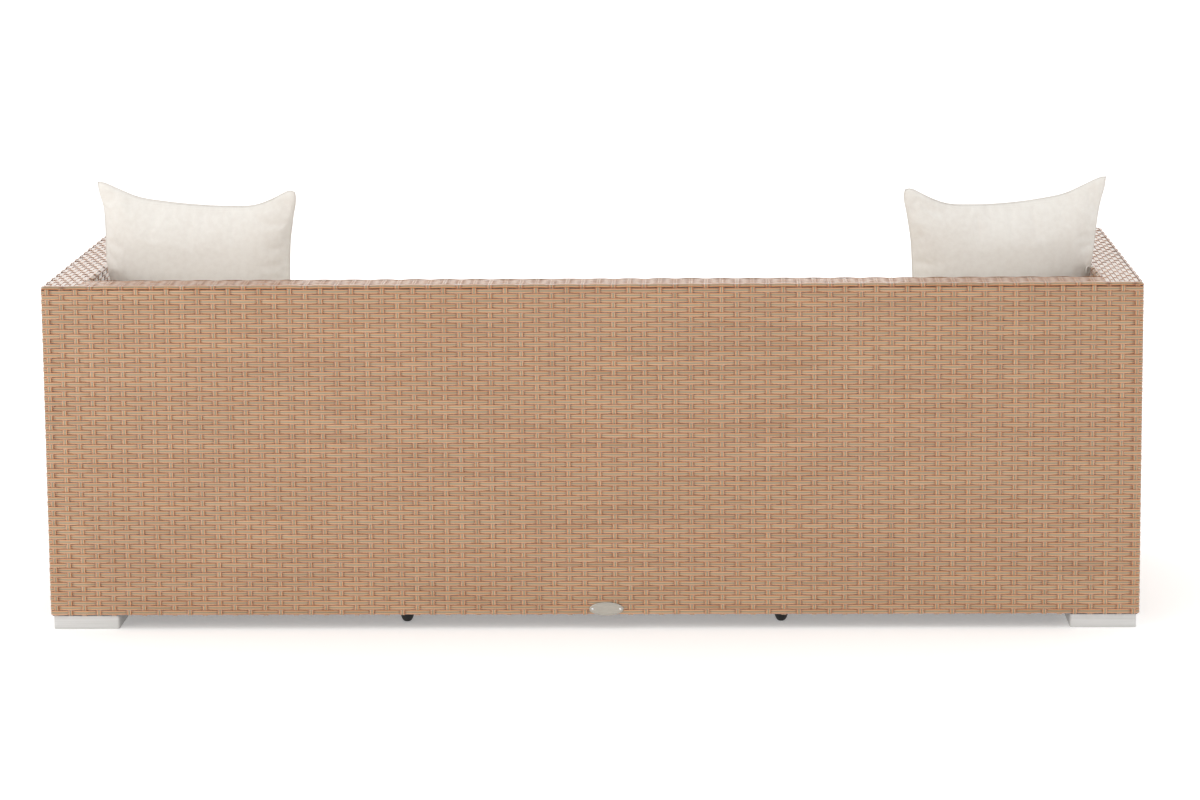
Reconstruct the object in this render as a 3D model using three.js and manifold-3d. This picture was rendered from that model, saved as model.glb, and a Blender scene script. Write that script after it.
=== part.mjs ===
// Rattan garden sofa: a long woven seat with a wall of one height round its back and both ends.
// Flat synthetic wicker is woven over a frame of square tubes. Three seat cushions and three back
// cushions lie loose in the well, and two throw pillows stand on the outer seats.
//
// Millimetres, +Z up. The origin is on the floor under the middle of the sofa. +X runs along its
// length towards the sitter's left, and the seat opens towards -Y.

import * as THREE from 'three';
import { mergeVertices } from 'three/addons/utils/BufferGeometryUtils.js';
import Module from 'manifold-3d';

// Overall sizes
const sofaLength = 2070;
const sofaDepth = 850;
const wallTop = 660;
const floorGap = 26;
const deckTop = 298;
const backThickness = 90;
const armThickness = 80;
const weaveThickness = 5;

// Left free between two pieces that touch
const clearance = 0.3;

// Frame of square tubes
const tubeSide = 25;
const tubeWall = 1.5;
const railLift = 4;
const stretcherHeight = 170;
const supportX = 358;

// Corner feet, each with a plug that goes up into its post
const footSide = 125;
const footInset = 7;
const footCorner = 5;
const footArcSteps = 4;
const plugHeight = 30;
const plugFit = 1;

// Domed glides under the middle legs
const glideRadius = 13.5;
const glideFlat = 5;
const glideRim = 4;
const glideStem = 24;
const glideSides = 16;
const glideArcSteps = 4;

// Bare oval plate on the lower edge of the back
const plateWidth = 65;
const plateHeight = 26;
const plateThickness = 1.2;
const plateX = -26;
const plateSides = 16;

// Loose cushions
const seatCushionHeight = 118;
const seatCushionCrown = 10;
const seatSetback = 4;
const backCushionHeight = 320;
const backCushionThickness = 102;
const backCushionCrown = 10;
const cushionGap = 2;
const cushionDrawIn = 5;
const cushionEdge = 22;
const cushionCells = { across: 12, along: 12, through: 4 };
const cushionNames = ['right', 'middle', 'left'];

// Throw pillows, with pointed upper corners and drawn-in sides
const pillowWidth = 382;
const pillowHeight = 392;
const pillowThickness = 124;
const pillowWelt = 5;
const pillowEar = 12;
const pillowLean = 8;
const pillowCells = { across: 15, along: 15, through: 1 };
const topDipShare = 0.16;
const bottomDipShare = 0.05;
const sideDipShare = 0.1;
const bottomNarrowShare = 0.13;
const leftPillowGap = 25;
const rightPillowGap = 5;
const pillowPlaces = [
  { name: 'left_pillow', side: 1, armGap: leftPillowGap, heightShare: 1, turn: 8, tilt: 0.5 },
  { name: 'right_pillow', side: -1, armGap: rightPillowGap, heightShare: 0.985, turn: 8, tilt: 0.8 },
];

// Faces and centre lines that the pieces share
const halfLength = sofaLength / 2;
const rearFace = sofaDepth / 2;
const frontFace = -rearFace;
const armInner = halfLength - armThickness;
const backInner = rearFace - backThickness;
const underTop = wallTop - weaveThickness - clearance;
const deckBottom = deckTop - weaveThickness;
const onDeck = deckTop + clearance;
const halfTube = tubeSide / 2;
const skinAndTube = weaveThickness + clearance + halfTube;
const outerPostX = halfLength - skinAndTube;
const innerPostX = armInner + skinAndTube;
const outerPostY = rearFace - skinAndTube;
const innerPostY = backInner + skinAndTube;
const frontPostY = frontFace + skinAndTube;
const frontLegY = frontPostY + tubeSide + clearance;
const pastTube = halfTube + clearance;
const topRailZ = underTop - halfTube;
const seatRailZ = deckBottom - clearance - halfTube;
const bottomRailZ = floorGap + railLift + halfTube;
const underSeatRail = seatRailZ - pastTube;
const footHeight = floorGap - clearance;
const footX = halfLength - footInset - footSide / 2;
const footY = rearFace - footInset - footSide / 2;
const backCushionFront = backInner - clearance - backCushionThickness - backCushionCrown;

const wasm = await Module();
wasm.setup();
const sofa = new THREE.Group();

// Finishes
const finishes = {
  wicker: { color: '#b59478', roughness: 0.55, metalness: 0 },
  tube: { color: '#6f5d4e', roughness: 0.5, metalness: 0.3 },
  foot: { color: '#d8d7d4', roughness: 0.45, metalness: 0 },
  glide: { color: '#1f1e1d', roughness: 0.5, metalness: 0 },
  plate: { color: '#b5afa5', roughness: 0.35, metalness: 0.9 },
  seatCloth: { color: '#e4ded4', roughness: 0.9, metalness: 0 },
  pillowCloth: { color: '#e8e3da', roughness: 0.9, metalness: 0 },
};

function place(name, finish, geometry, x = 0, y = 0, z = 0) {
  const mesh = new THREE.Mesh(geometry, new THREE.MeshStandardMaterial(finishes[finish]));
  mesh.name = name;
  mesh.position.set(x, y, z);
  sofa.add(mesh);
}

// A flat woven panel that fills the given spans along X, Y and Z
function panel(name, [x0, x1], [y0, y1], [z0, z1]) {
  const box = new THREE.BoxGeometry(x1 - x0, y1 - y0, z1 - z0);
  place(name, 'wicker', box, (x0 + x1) / 2, (y0 + y1) / 2, (z0 + z1) / 2);
}

function square(side) {
  const half = side / 2;
  const corners = [[-half, -half], [half, -half], [half, half], [-half, half]];
  return corners.map(([x, y]) => new THREE.Vector2(x, y));
}

// A square tube, open at both ends, from start to end along one axis, with its centre line there
function tube(name, axis, [start, end], centre) {
  const section = new THREE.Shape(square(tubeSide));
  section.holes.push(new THREE.Path(square(tubeSide - 2 * tubeWall)));
  const geometry = new THREE.ExtrudeGeometry(section, { depth: end - start, bevelEnabled: false });
  const position = { ...centre, [axis]: start };
  if (axis === 'x') geometry.rotateY(Math.PI / 2);
  if (axis === 'y') geometry.rotateX(-Math.PI / 2);
  place(name, 'tube', geometry, position.x, position.y, position.z);
}

function toManifold(geometry) {
  const bare = geometry.clone();
  bare.deleteAttribute('normal');
  bare.deleteAttribute('uv');
  const merged = mergeVertices(bare);
  return new wasm.Manifold(new wasm.Mesh({
    numProp: 3,
    vertProperties: new Float32Array(merged.attributes.position.array),
    triVerts: new Uint32Array(merged.index.array),
  }));
}

function toGeometry(manifold) {
  const { vertProperties, triVerts } = manifold.getMesh();
  const geometry = new THREE.BufferGeometry();
  geometry.setAttribute('position', new THREE.BufferAttribute(vertProperties, 3));
  geometry.setIndex(new THREE.BufferAttribute(triVerts, 1));
  geometry.computeVertexNormals();
  return geometry;
}

// Woven back: an outer and an inner panel under one top panel that runs over both ends
function backWall() {
  const inside = armInner + weaveThickness;
  panel('back_outer_weave', [-halfLength, halfLength], [rearFace - weaveThickness, rearFace],
    [floorGap, underTop]);
  panel('back_inner_weave', [-inside, inside], [backInner, backInner + weaveThickness],
    [onDeck, underTop]);
  panel('back_top_weave', [-halfLength, halfLength], [backInner, rearFace],
    [wallTop - weaveThickness, wallTop]);
}

// Woven arm: four panels round the end wall, the inner one standing on the edge of the deck
function armWall(name, side) {
  const across = (near, far) => [Math.min(side * near, side * far), Math.max(side * near, side * far)];
  const outside = across(halfLength - weaveThickness, halfLength);
  const inside = across(armInner, armInner + weaveThickness);
  const whole = across(armInner, halfLength);
  const behindFront = frontFace + weaveThickness + clearance;
  const aheadOfBack = backInner - clearance;
  panel(`${name}_arm_outer_weave`, outside, [behindFront, rearFace - weaveThickness - clearance],
    [floorGap, underTop]);
  panel(`${name}_arm_inner_weave`, inside, [behindFront, aheadOfBack], [onDeck, underTop]);
  panel(`${name}_arm_top_weave`, whole, [frontFace, aheadOfBack], [wallTop - weaveThickness, wallTop]);
  panel(`${name}_arm_front_weave`, whole, [frontFace, frontFace + weaveThickness], [floorGap, underTop]);
}

// Woven apron below the front edge of the seat
function apron() {
  const reach = armInner - clearance;
  panel('front_apron_weave', [-reach, reach], [frontFace, frontFace + weaveThickness],
    [floorGap, deckBottom - clearance]);
}

// Woven seat deck: it lies on the seat rails and is notched round the four inner posts
function seatDeck() {
  const wide = innerPostX - halfTube + tubeSide - weaveThickness;
  const narrow = armInner - clearance;
  const beforeRearPost = innerPostY - pastTube;
  const besideRearPost = innerPostX - pastTube;
  const rear = innerPostY + halfTube - weaveThickness;
  const behindFrontPost = frontPostY + pastTube;
  const half = [
    [narrow, frontFace], [narrow, behindFrontPost], [wide, behindFrontPost], [wide, beforeRearPost],
    [besideRearPost, beforeRearPost], [besideRearPost, rear],
  ];
  const mirrored = half.map(([x, y]) => [-x, y]).reverse();
  const outline = [...half, ...mirrored].map(([x, y]) => new THREE.Vector2(x, y));
  const geometry = new THREE.ExtrudeGeometry(new THREE.Shape(outline),
    { depth: weaveThickness, bevelEnabled: false });
  place('seat_deck_weave', 'wicker', geometry, 0, 0, deckBottom);
}

// Eight upright posts, two in each corner, from the feet to the top of the walls
function posts() {
  const rise = [floorGap, underTop];
  for (const [name, side] of [['left', 1], ['right', -1]]) {
    tube(`rear_${name}_post`, 'z', rise, { x: side * outerPostX, y: outerPostY });
    tube(`front_${name}_post`, 'z', rise, { x: side * outerPostX, y: frontPostY });
    tube(`rear_${name}_inner_post`, 'z', rise, { x: side * innerPostX, y: innerPostY });
    tube(`front_${name}_inner_post`, 'z', rise, { x: side * innerPostX, y: frontPostY });
  }
}

// Rails along the length: top, bottom and stretcher in the back, then the seat rails and the front
function longRails() {
  const outerRun = [-(outerPostX - pastTube), outerPostX - pastTube];
  const innerRun = [-(innerPostX - pastTube), innerPostX - pastTube];
  tube('back_top_rail', 'x', outerRun, { y: outerPostY, z: topRailZ });
  tube('back_stretcher', 'x', outerRun, { y: outerPostY, z: stretcherHeight });
  tube('back_bottom_rail', 'x', outerRun, { y: outerPostY, z: bottomRailZ });
  tube('back_inner_rail', 'x', innerRun, { y: innerPostY, z: topRailZ });
  tube('rear_seat_rail', 'x', innerRun, { y: innerPostY, z: seatRailZ });
  tube('front_seat_rail', 'x', innerRun, { y: frontPostY, z: seatRailZ });
  tube('front_bottom_rail', 'x', innerRun, { y: frontPostY, z: bottomRailZ });
}

// Rails from front to back in each arm, and one under each end of the deck
function armRails() {
  const outerRun = [frontPostY + pastTube, outerPostY - pastTube];
  const innerRun = [frontPostY + pastTube, innerPostY - pastTube];
  for (const [name, side] of [['left', 1], ['right', -1]]) {
    tube(`${name}_arm_top_rail`, 'y', outerRun, { x: side * outerPostX, z: topRailZ });
    tube(`${name}_arm_bottom_rail`, 'y', outerRun, { x: side * outerPostX, z: bottomRailZ });
    tube(`${name}_arm_inner_rail`, 'y', innerRun, { x: side * innerPostX, z: topRailZ });
    tube(`${name}_seat_rail`, 'y', innerRun, { x: side * innerPostX, z: seatRailZ });
  }
}

// Two bearers carry the middle of the deck, each on a front leg and at the rear seat rail's leg
function middleSupports() {
  const run = [frontPostY + pastTube, innerPostY - pastTube];
  for (const [name, side] of [['left', 1], ['right', -1]]) {
    const x = side * supportX;
    tube(`${name}_seat_bearer`, 'y', run, { x, z: seatRailZ });
    tube(`front_${name}_middle_leg`, 'z', [floorGap, underSeatRail], { x, y: frontLegY });
    tube(`rear_${name}_middle_leg`, 'z', [floorGap, underSeatRail], { x, y: innerPostY });
    place(`front_${name}_glide`, 'glide', glide(), x, frontLegY);
    place(`rear_${name}_glide`, 'glide', glide(), x, innerPostY);
  }
}

// A turned glide: a flat spot, a dome, a rim under the leg and a stem inside it
function glide() {
  const stemRadius = halfTube - tubeWall - clearance;
  const domeHeight = footHeight - glideRim;
  const profile = [new THREE.Vector2(0, 0)];
  for (let step = 0; step <= glideArcSteps; step += 1) {
    const angle = (step / glideArcSteps) * Math.PI / 2;
    profile.push(new THREE.Vector2(glideFlat + (glideRadius - glideFlat) * Math.sin(angle),
      domeHeight * (1 - Math.cos(angle))));
  }
  profile.push(new THREE.Vector2(glideRadius, footHeight));
  profile.push(new THREE.Vector2(stemRadius, footHeight));
  profile.push(new THREE.Vector2(stemRadius, footHeight + glideStem));
  profile.push(new THREE.Vector2(0, footHeight + glideStem));
  return new THREE.LatheGeometry(profile, glideSides).rotateX(Math.PI / 2);
}

// A corner foot: a low block with rounded upright corners, joined to a plug for its post
function foot(sideX, sideY) {
  const half = footSide / 2;
  const straight = half - footCorner;
  const outline = new THREE.Shape();
  outline.absarc(straight, straight, footCorner, 0, Math.PI / 2);
  outline.absarc(-straight, straight, footCorner, Math.PI / 2, Math.PI);
  outline.absarc(-straight, -straight, footCorner, Math.PI, 3 * Math.PI / 2);
  outline.absarc(straight, -straight, footCorner, 3 * Math.PI / 2, 2 * Math.PI);
  const block = new THREE.ExtrudeGeometry(outline,
    { depth: footHeight, bevelEnabled: false, curveSegments: footArcSteps });
  const plugSide = tubeSide - 2 * (tubeWall + plugFit);
  const plugRoot = footHeight / 2;
  const plugTop = footHeight + plugHeight;
  const plug = new THREE.BoxGeometry(plugSide, plugSide, plugTop - plugRoot);
  plug.translate(sideX * (outerPostX - footX), sideY * (outerPostY - footY), (plugRoot + plugTop) / 2);
  return toGeometry(toManifold(block).add(toManifold(plug)));
}

function feet() {
  for (const [end, sideY] of [['rear', 1], ['front', -1]]) {
    for (const [name, sideX] of [['left', 1], ['right', -1]]) {
      place(`${end}_${name}_foot`, 'foot', foot(sideX, sideY), sideX * footX, sideY * footY);
    }
  }
}

// The oval plate lies against the back, its lower edge level with the weave's
function ovalPlate() {
  const outline = new THREE.Shape();
  outline.absellipse(0, 0, plateWidth / 2, plateHeight / 2, 0, 2 * Math.PI);
  const geometry = new THREE.ExtrudeGeometry(outline,
    { depth: plateThickness, bevelEnabled: false, curveSegments: plateSides });
  geometry.rotateX(-Math.PI / 2);
  place('oval_plate', 'plate', geometry, plateX, rearFace + clearance, floorGap + plateHeight / 2);
}

// Gives each vertex of a unit box its place from its shares of the half sizes, -1 to 1 each way,
// spread so that the cells are finest at the edges
function shapeBox(cells, place) {
  const geometry = new THREE.BoxGeometry(1, 1, 1, cells.across, cells.along, cells.through);
  const position = geometry.attributes.position;
  const spread = (share) => Math.sin(Math.PI * share);
  for (let i = 0; i < position.count; i += 1) {
    const point = place(spread(position.getX(i)), spread(position.getY(i)), spread(position.getZ(i)));
    position.setXYZ(i, ...point);
  }
  geometry.computeVertexNormals();
  return geometry;
}

// A box cushion on its flat face: round edges, sides drawn in between the corners, crowned top
function boxCushion(width, depth, height, crown) {
  const half = new THREE.Vector3(width / 2, depth / 2, height / 2);
  const core = half.clone().subScalar(cushionEdge);
  return shapeBox(cushionCells, (u, v, w) => {
    const corner = new THREE.Vector3(u * half.x, v * half.y, w * half.z);
    const inner = corner.clone().clamp(core.clone().negate(), core);
    const point = inner.clone().add(corner.clone().sub(inner).setLength(cushionEdge));
    const across = 1 - (point.x / half.x) ** 2;
    const along = 1 - (point.y / half.y) ** 2;
    const rise = Math.max(point.z / half.z, 0) * crown * across * along;
    point.x *= 1 - along * cushionDrawIn / half.x;
    point.y *= 1 - across * cushionDrawIn / half.y;
    return [point.x, point.y, point.z + half.z + rise];
  });
}

function cushionRow() {
  const count = cushionNames.length;
  const width = (2 * armInner - (count + 1) * cushionGap) / count;
  const seatFront = frontFace + seatSetback;
  const seatRear = backCushionFront - cushionGap;
  cushionNames.forEach((name, i) => {
    const x = (i - (count - 1) / 2) * (width + cushionGap);
    const seat = boxCushion(width, seatRear - seatFront, seatCushionHeight, seatCushionCrown);
    place(`${name}_seat_cushion`, 'seatCloth', seat, x, (seatFront + seatRear) / 2, onDeck);
    const back = boxCushion(width, backCushionHeight, backCushionThickness, backCushionCrown);
    back.rotateX(Math.PI / 2);
    place(`${name}_back_cushion`, 'seatCloth', back, x, backInner - clearance,
      onDeck + backCushionHeight / 2);
  });
  return { width, front: seatFront, rear: seatRear, reach: (count - 1) / 2 * (width + cushionGap) };
}

// A knife-edge pillow standing in its own XZ plane. Its sides dip between the corners, the outer
// upper corner is the longest, and the foot is narrower where it is pressed between seat and arm.
function pillow(side, heightShare) {
  const half = new THREE.Vector3(pillowWidth / 2, pillowThickness / 2, heightShare * pillowHeight / 2);
  const hollow = (share) => 1 - Math.abs(share) ** 3;
  return shapeBox(pillowCells, (u, v, face) => {
    const dip = v > 0 ? topDipShare : bottomDipShare;
    const narrow = bottomNarrowShare * ((1 - v) / 2) ** 2;
    const ear = u * side > 0 && v > 0 ? pillowEar * (u * v) ** 4 : 0;
    const puff = Math.sqrt(Math.max((1 - u * u) * (1 - v * v), 0));
    const bulge = pillowWelt / 2 + (half.y - pillowWelt / 2) * puff;
    return [
      u * half.x * (1 - sideDipShare * hollow(v)) * (1 - narrow) + side * ear / 2,
      -face * bulge,
      v * half.z * (1 - dip * hollow(u)) + ear,
    ];
  });
}

// Each pillow leans back and is turned a little towards the middle. It stands beside its arm, just
// clear of the back cushion's path, and is let down on the crown of its seat cushion.
function pillows(row) {
  const radians = THREE.MathUtils.degToRad;
  for (const { name, side, armGap, heightShare, turn, tilt } of pillowPlaces) {
    const geometry = pillow(side, heightShare);
    geometry.rotateY(radians(-side * tilt));
    geometry.rotateX(radians(-pillowLean));
    geometry.rotateZ(radians(-side * turn));
    geometry.computeBoundingBox();
    const { min, max } = geometry.boundingBox;
    const position = geometry.attributes.position;
    const points = Array.from({ length: position.count },
      (_, i) => new THREE.Vector3().fromBufferAttribute(position, i));
    const seatTop = onDeck + seatCushionHeight;
    const besideArm = points.filter((point) => point.z - min.z + seatTop < wallTop);
    const widest = Math.max(...besideArm.map((point) => side * point.x));
    const x = side * (armInner - armGap - widest);
    const y = backCushionFront - clearance - max.y;
    const overCrown = points.map((point) => {
      const u = (point.x + x - side * row.reach) / (row.width / 2);
      const v = (2 * (point.y + y) - row.front - row.rear) / (row.rear - row.front);
      return point.z - seatCushionCrown * Math.max(1 - u * u, 0) * Math.max(1 - v * v, 0);
    });
    place(name, 'pillowCloth', geometry, x, y, seatTop + clearance - Math.min(...overCrown));
  }
}

backWall();
armWall('left', 1);
armWall('right', -1);
apron();
seatDeck();
posts();
longRails();
armRails();
middleSupports();
feet();
ovalPlate();
pillows(cushionRow());

export default sofa;
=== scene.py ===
# %% [markdown]
# # A rattan garden sofa, seen from behind
# The sofa is a welded frame of square tubes with flat synthetic wicker woven over it. Three seat
# cushions and three back cushions lie in the well, and two throw pillows stand at its ends.
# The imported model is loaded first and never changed: it says where everything goes. What follows
# dresses it: strand by strand where it is woven, and cloth by simulation where it is stuffed.

# %% Load the frame
import math
from functools import partial

import bmesh
import bpy
import numpy as np
from mathutils import Matrix, Vector
from mathutils.noise import noise_vector, seed_set


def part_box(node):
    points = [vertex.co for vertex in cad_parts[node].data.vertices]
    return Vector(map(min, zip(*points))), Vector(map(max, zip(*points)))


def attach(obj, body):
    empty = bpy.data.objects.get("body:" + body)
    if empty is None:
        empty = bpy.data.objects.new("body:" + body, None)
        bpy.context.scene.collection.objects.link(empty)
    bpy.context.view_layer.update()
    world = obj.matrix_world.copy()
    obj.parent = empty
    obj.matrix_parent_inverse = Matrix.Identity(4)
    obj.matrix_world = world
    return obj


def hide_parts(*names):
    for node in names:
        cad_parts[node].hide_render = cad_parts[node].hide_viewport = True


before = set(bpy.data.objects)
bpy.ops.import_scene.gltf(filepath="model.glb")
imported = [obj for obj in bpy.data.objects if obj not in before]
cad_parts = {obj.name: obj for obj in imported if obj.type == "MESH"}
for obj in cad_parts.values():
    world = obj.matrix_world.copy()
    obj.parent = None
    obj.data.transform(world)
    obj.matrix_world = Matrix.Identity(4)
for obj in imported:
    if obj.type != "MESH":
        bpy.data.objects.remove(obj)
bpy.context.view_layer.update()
scene = bpy.context.scene
mm = 0.001

# %% [markdown]
# ## Helpers
# Every finish is a handful of nodes, so one function adds a node with its settings and links. The
# others turn a hex colour, as a paint chart gives it, into the linear numbers that shaders count in,
# put objects in the scene, and carry values to and from a mesh.

# %% Helpers
def colour(hex_value):
    """Linear red, green, blue and alpha of an sRGB hex colour."""
    shares = [int(hex_value[i:i + 2], 16) / 255 for i in (1, 3, 5)]
    linear = [c / 12.92 if c <= 0.04045 else ((c + 0.055) / 1.055) ** 2.4 for c in shares]
    return (*linear, 1)


def add_node(tree, kind, sockets=None, stops=(), **settings):
    """Adds a node. Each input in sockets gets its value, or a link from a node or one of its outputs.
    Stops are a colour ramp's places with their hex colours."""
    node = tree.nodes.new(kind)
    for name, value in settings.items():
        setattr(node, name, value)
    for key, value in (sockets or {}).items():
        if isinstance(value, bpy.types.Node):
            value = next(output for output in value.outputs if output.enabled)
        if isinstance(value, bpy.types.NodeSocket):
            tree.links.new(value, node.inputs[key])
        else:
            node.inputs[key].default_value = value
    for number, (place, shade) in enumerate(stops):
        elements = node.color_ramp.elements
        element = elements[number] if number < len(elements) else elements.new(1)
        element.position, element.color = place, colour(shade)
    return node


def new_material(name, finish, *sizes):
    """A material whose shader gets what a finish makes. The finish is handed a function that adds a node."""
    material = bpy.data.materials.new(name)
    material.use_nodes = True
    material.node_tree.nodes.clear()
    add = partial(add_node, material.node_tree)
    shader = add("ShaderNodeBsdfPrincipled", finish(add, *sizes))
    add("ShaderNodeOutputMaterial", {"Surface": shader})
    return material


def new_object(name, data):
    """An object with this mesh, light or camera, in the scene."""
    made = bpy.data.objects.new(name, data)
    scene.collection.objects.link(made)
    return made


def new_mesh(name, points, edges=(), faces=()):
    """A mesh of these points, edges and faces."""
    mesh = bpy.data.meshes.new(name)
    mesh.from_pydata([tuple(point) for point in points], edges, faces)
    return mesh


def keep_values(mesh, name, values, kind="FLOAT", domain="POINT"):
    """Keeps a value for each point or edge of a mesh as an attribute."""
    field = "vector" if kind == "FLOAT_VECTOR" else "value"
    kept = mesh.attributes.new(name, kind, domain)
    kept.data.foreach_set(field, np.asarray(values, np.float32).ravel())


def read_values(items, name, width=1, kind=np.float32):
    """The values that each of a mesh's items, such as its points or faces, has under a name."""
    values = np.empty(len(items) * width, kind)
    items.foreach_get(name, values)
    return values


def dress(piece, body, slot, *solids):
    """Puts a piece on the body that carries it and hides the solids that it stands for. The slot, for what it
    is made of, is not used.
    """
    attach(piece, body)
    if solids:
        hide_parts(*solids)


print("helpers ready")

# %% [markdown]
# ## Camera and studio
# The picture was taken from behind, with a long lens from well back, a little above the wall. Its
# place and its three turns were worked out from the corners of the back. The turns are put together
# as a matrix, because a camera looks along its own -Z with its own +Y up.
# The studio is a catalogue's: a white sweep, a white sky and two large soft lights. One stands low
# beside the camera and lights the back. The reflection of the other, across the sofa, pales the tops.

# %% Place the camera
picture_width = 1200
focal_pixels = 3964.9
camera_place = Vector((-0.2437, 7.7734, 1.6525))
yaw, pitch, roll = (math.radians(turn) for turn in (1.766, 9.363, -0.483))
forward = Vector((math.sin(yaw) * math.cos(pitch), -math.cos(yaw) * math.cos(pitch), -math.sin(pitch)))
level_right = Vector((-math.cos(yaw), -math.sin(yaw), 0))
level_up = level_right.cross(forward)
right = math.cos(roll) * level_right + math.sin(roll) * level_up
up = math.cos(roll) * level_up - math.sin(roll) * level_right

camera = new_object("camera", bpy.data.cameras.new("camera"))
camera.data.sensor_width = 36
camera.data.lens = camera.data.sensor_width * focal_pixels / picture_width
turned = Matrix((right, up, -forward)).transposed()
camera.matrix_world = Matrix.Translation(camera_place) @ turned.to_4x4()
scene.camera = camera
print("camera lens:", round(camera.data.lens, 1), "mm")

# %% Floor, sky and lights
def painted_floor(add):
    """Matt paint, faintly mottled. It glows a little, as a floor lit from below, to keep shadows pale."""
    place = add("ShaderNodeTexCoord").outputs["Object"]
    mottle = add("ShaderNodeTexNoise", {"Vector": place, "Scale": 1.5, "Detail": 2})
    shade = add("ShaderNodeValToRGB", {"Fac": mottle}, [(0.3, "#F4F4F3"), (0.7, "#F8F8F7")])
    return {"Base Color": shade, "Roughness": 0.75, "Specular IOR Level": 0.2,
            "Emission Color": colour("#FFFFFF"), "Emission Strength": 0.3}


def add_light(name, place, size, power, tint):
    """A soft rectangular light at a place, turned towards the sofa's middle."""
    data = bpy.data.lights.new(name, "AREA")
    data.shape = "RECTANGLE"
    data.size, data.size_y = size
    data.energy, data.color = power, colour(tint)[:3]
    light = new_object(name, data)
    light.location = place
    light.rotation_euler = (Vector((0, 0, 0.4)) - Vector(place)).to_track_quat("-Z", "Y").to_euler()


half = 30
floor_corners = [(-half, -half, 0), (half, -half, 0), (half, half, 0), (-half, half, 0)]
floor = new_object("floor", new_mesh("floor", floor_corners, [], [(0, 1, 2, 3)]))
floor.data.materials.append(new_material("painted_studio_floor", painted_floor))
scene.world = bpy.data.worlds.new("white_sky")
scene.world.use_nodes = True
sky = scene.world.node_tree.nodes["Background"].inputs
sky["Color"].default_value, sky["Strength"].default_value = colour("#FFFFFF"), 1.0
add_light("rear_key", (3.6, 5.2, 1.7), (4, 2.5), 70, "#FFF9F3")
add_light("seat_side", (0.9, -5, 2.7), (6.5, 3), 62, "#FFFFFF")
scene.view_settings.view_transform = "Standard"
print("studio ready")

# %% [markdown]
# ## Wicker strand
# Garden wicker is polyethylene, squeezed out of a die as a flat strand with two rounded ridges. The
# colour is streaked along it. Across it the colour paints light and shade: grey-brown in the hollow
# between the ridges and orange-brown at the thin edges are painted shade, tan on the ridges is a
# painted highlight. Each strand carries its own numbers as attributes: how far across a point is, how
# far along, how far it dips, which sets a painted shade, and a number drawn for the whole strand.

# %% Wicker finish
def extruded_wicker(add):
    """Streaked, satin polyethylene. Extruded plastic is smooth along the strand and ribbed across it."""
    across, along, drawn, dip = (add("ShaderNodeAttribute", attribute_name=name).outputs["Fac"]
                                 for name in ("across", "along", "drawn", "dip"))
    distance = add("ShaderNodeMath", {0: across}, operation="ABSOLUTE")
    spot = add("ShaderNodeCombineXYZ", {"X": across, "Y": along, "Z": drawn})
    # Streaks about a millimetre wide and ten centimetres long
    streaks = add("ShaderNodeMapping", {"Vector": spot, "Scale": (3.2, 9, 60)})
    grain = add("ShaderNodeTexNoise", {"Vector": streaks, "Scale": 1, "Detail": 3})
    lean = add("ShaderNodeMath", {0: grain, 1: 0.35, 2: -0.175}, operation="MULTIPLY_ADD")
    painted_light_band = add("ShaderNodeMath", {0: distance, 1: lean}, operation="ADD")
    # Across the strand: grey-brown hollow and orange-brown edges are painted shade, tan ridges a painted
    # highlight
    body = add("ShaderNodeValToRGB", {"Fac": painted_light_band}, [
        (0.0, "#897D66"), (0.25, "#98886D"), (0.5, "#CFA37F"), (0.7, "#C1844E"), (0.95, "#AC632B")])
    # The mix of pigments drifts along a strand, over some 30 centimetres
    drift = add("ShaderNodeMapping", {"Vector": spot, "Scale": (0, 3.5, 41)})
    batch = add("ShaderNodeTexNoise", {"Vector": drift, "Scale": 1, "Detail": 1})
    pigment = add("ShaderNodeValToRGB", {"Fac": batch},
                  [(0.3, "#E9E0D4"), (0.5, "#F6F2EC"), (0.7, "#FFFEFA")])
    # Painted shade, partly dust: the colour deepens where a strand dives under another and is shaded
    hollow = add("ShaderNodeValToRGB", {"Fac": dip},
                 [(0.74, "#FFFFFF"), (0.88, "#E4C6AC"), (1.0, "#8C5A40")])
    for layer in (pigment, hollow):
        body = add("ShaderNodeMix", {"Factor": 1.0, 6: body, 7: layer}, data_type="RGBA",
                   blend_type="MULTIPLY")
    dull = add("ShaderNodeMapRange", {"Value": grain, "To Min": 0.28, "To Max": 0.46})
    ribs = add("ShaderNodeMapping", {"Vector": spot, "Scale": (9, 14, 60)})
    rib_noise = add("ShaderNodeTexNoise", {"Vector": ribs, "Scale": 1, "Detail": 2})
    bump = add("ShaderNodeBump", {"Height": rib_noise, "Strength": 0.35, "Distance": 0.25 * mm})
    # Fine dust and the skin of the plastic turn pale where the eye grazes them: coat and sheen
    return {"Base Color": body, "Roughness": dull, "Normal": bump, "IOR": 1.5, "Coat Weight": 0.5,
            "Coat Roughness": 0.3, "Sheen Weight": 0.6, "Sheen Roughness": 0.35}


wicker = new_material("polyethylene_wicker", extruded_wicker)
print("finish:", wicker.name)

# %% [markdown]
# ## Where the strands run
# A woven wall is a grid. Weft strands run level round the whole wall, in rows. Warp strands climb the
# outer face, cross the top and go down the inner face. Each takes turns over and under the other.
# Both follow a guide: a line through a few corners, rounded, that counts the strands which it
# crosses. With the count kept at every point of the line, over and under is a cosine of it.

# %% Sizes of the weave
outer_low, outer_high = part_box("back_outer_weave")
inner_low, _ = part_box("back_inner_weave")
top_low, top_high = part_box("back_top_weave")
deck_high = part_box("seat_deck_weave")[1]
edge_x, hem_z = outer_high.x, outer_low.z
well_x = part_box("left_arm_inner_weave")[0].x
core = (top_high.z - top_low.z) / 2

rear_x, rear_y = edge_x - core, outer_high.y - core
side_x, inner_y = well_x + core, inner_low.y + core
front_y = -outer_high.y + core
crest_z, seat_z = top_high.z - core, deck_high.z - core

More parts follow.
